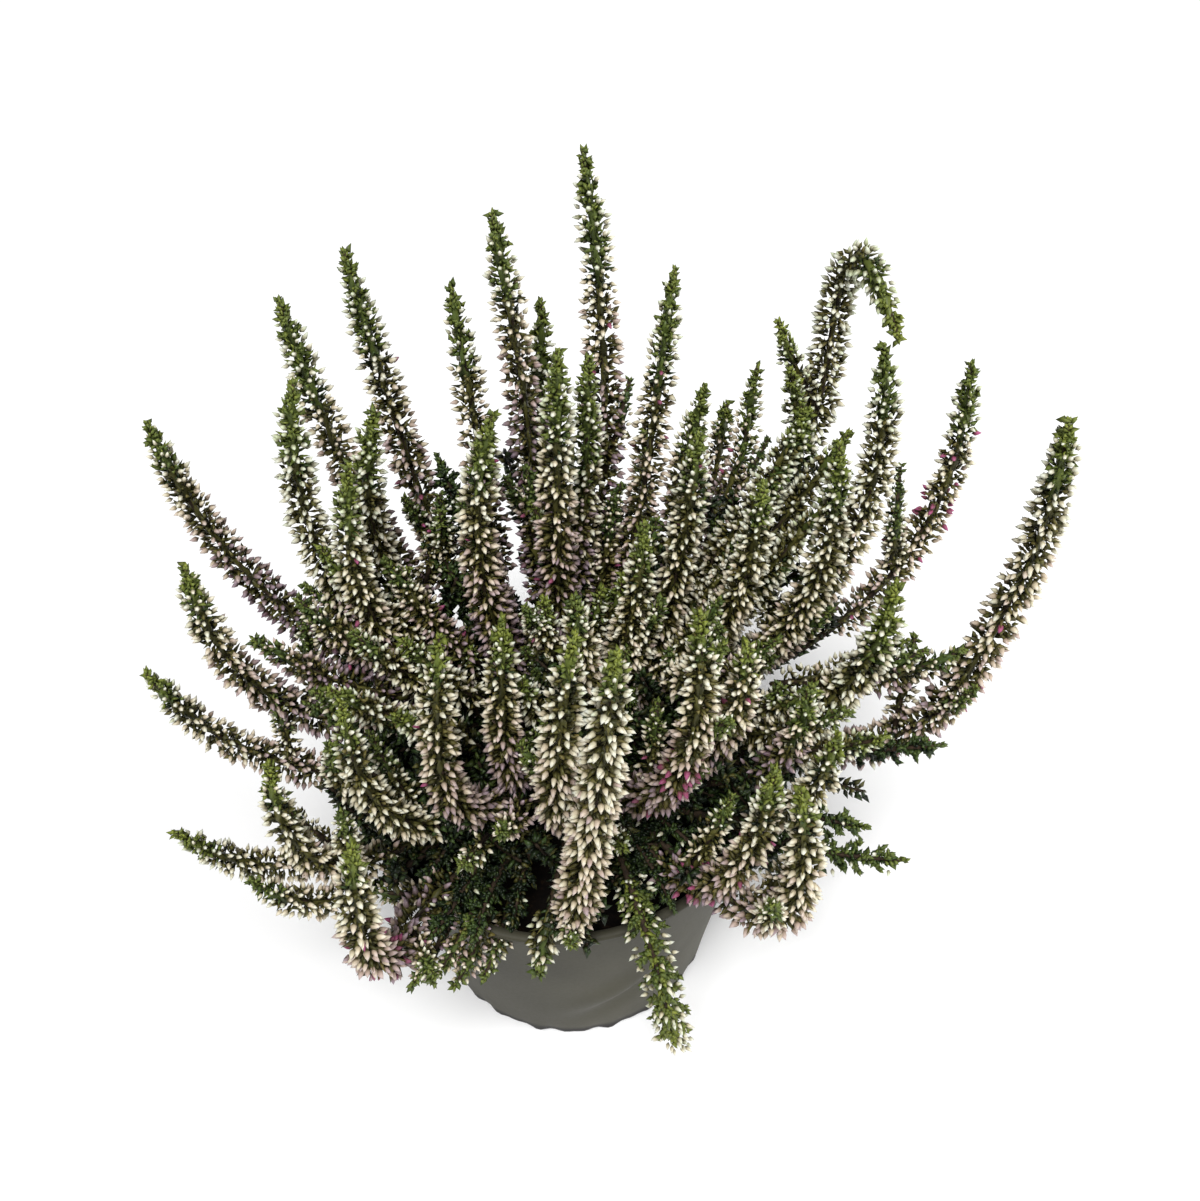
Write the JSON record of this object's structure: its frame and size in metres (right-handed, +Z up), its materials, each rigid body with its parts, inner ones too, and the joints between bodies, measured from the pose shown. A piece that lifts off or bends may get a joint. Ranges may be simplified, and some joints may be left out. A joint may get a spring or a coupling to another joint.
{
  "type": "potted heather",
  "caption": "Bud-blooming heather with upright ivory, blush and mauve flower spikes, in a thin round nursery pot.",
  "frame": {"origin": "centre of the pot's flat underside", "axes": "+Z up along the pot's axis, -Y towards the side that the heather shows"},
  "size_m": [0.2224, 0.1667, 0.2701],
  "materials": {
    "taupe_plastic": "satin",
    "peat": "rough",
    "heather_bark": "rough",
    "heather_blossom": "matte",
    "heather_leaf": "matte"
  },
  "bodies": {
    "root": {"flower_shoot_back_1": "heather_blossom", "flower_shoot_back_10": "heather_blossom", "flower_shoot_back_11": "heather_blossom", "flower_shoot_back_12": "heather_blossom", "flower_shoot_back_2": "heather_blossom", "flower_shoot_back_3": "heather_blossom", "flower_shoot_back_4": "heather_blossom", "flower_shoot_back_5": "heather_blossom", "flower_shoot_back_6": "heather_blossom", "flower_shoot_back_7": "heather_blossom", "flower_shoot_back_8": "heather_blossom", "flower_shoot_back_9": "heather_blossom", "flower_shoot_front_1": "heather_blossom", "flower_shoot_front_2": "heather_blossom", "flower_shoot_front_3": "heather_blossom", "flower_shoot_front_4": "heather_blossom", "flower_shoot_front_5": "heather_blossom", "flower_shoot_front_6": "heather_blossom", "flower_shoot_front_7": "heather_blossom", "flower_shoot_front_8": "heather_blossom", "flower_shoot_front_9": "heather_blossom", "flower_shoot_left_1": "heather_blossom", "flower_shoot_left_2": "heather_blossom", "flower_shoot_left_3": "heather_blossom", "flower_shoot_left_4": "heather_blossom", "flower_shoot_left_5": "heather_blossom", "flower_shoot_left_6": "heather_blossom", "flower_shoot_low_left": "heather_blossom", "flower_shoot_low_right_1": "heather_blossom", "flower_shoot_low_right_2": "heather_blossom", "flower_shoot_low_right_3": "heather_blossom", "flower_shoot_middle_1": "heather_blossom", "flower_shoot_middle_2": "heather_blossom", "flower_shoot_middle_3": "heather_blossom", "flower_shoot_middle_4": "heather_blossom", "flower_shoot_middle_5": "heather_blossom", "flower_shoot_middle_6": "heather_blossom", "flower_shoot_middle_7": "heather_blossom", "flower_shoot_middle_8": "heather_blossom", "flower_shoot_right_1": "heather_blossom", "flower_shoot_right_2": "heather_blossom", "flower_shoot_right_3": "heather_blossom", "flower_shoot_right_4": "heather_blossom", "flower_shoot_right_5": "heather_blossom", "flower_shoot_right_6": "heather_blossom", "flower_shoot_right_7": "heather_blossom", "flower_shoot_right_hook": "heather_blossom", "flower_shoot_rim": "heather_blossom", "flower_shoot_tall_back": "heather_blossom", "leafy_shoot_front": "heather_leaf", "leafy_shoot_left": "heather_leaf", "leafy_shoot_right": "heather_leaf", "pot": "taupe_plastic", "root_ball": "peat", "woody_branch_1": "heather_bark", "woody_branch_2": "heather_bark", "woody_branch_3": "heather_bark", "woody_branch_4": "heather_bark", "woody_branch_5": "heather_bark", "woody_branch_6": "heather_bark"}
  },
  "joints": []
}
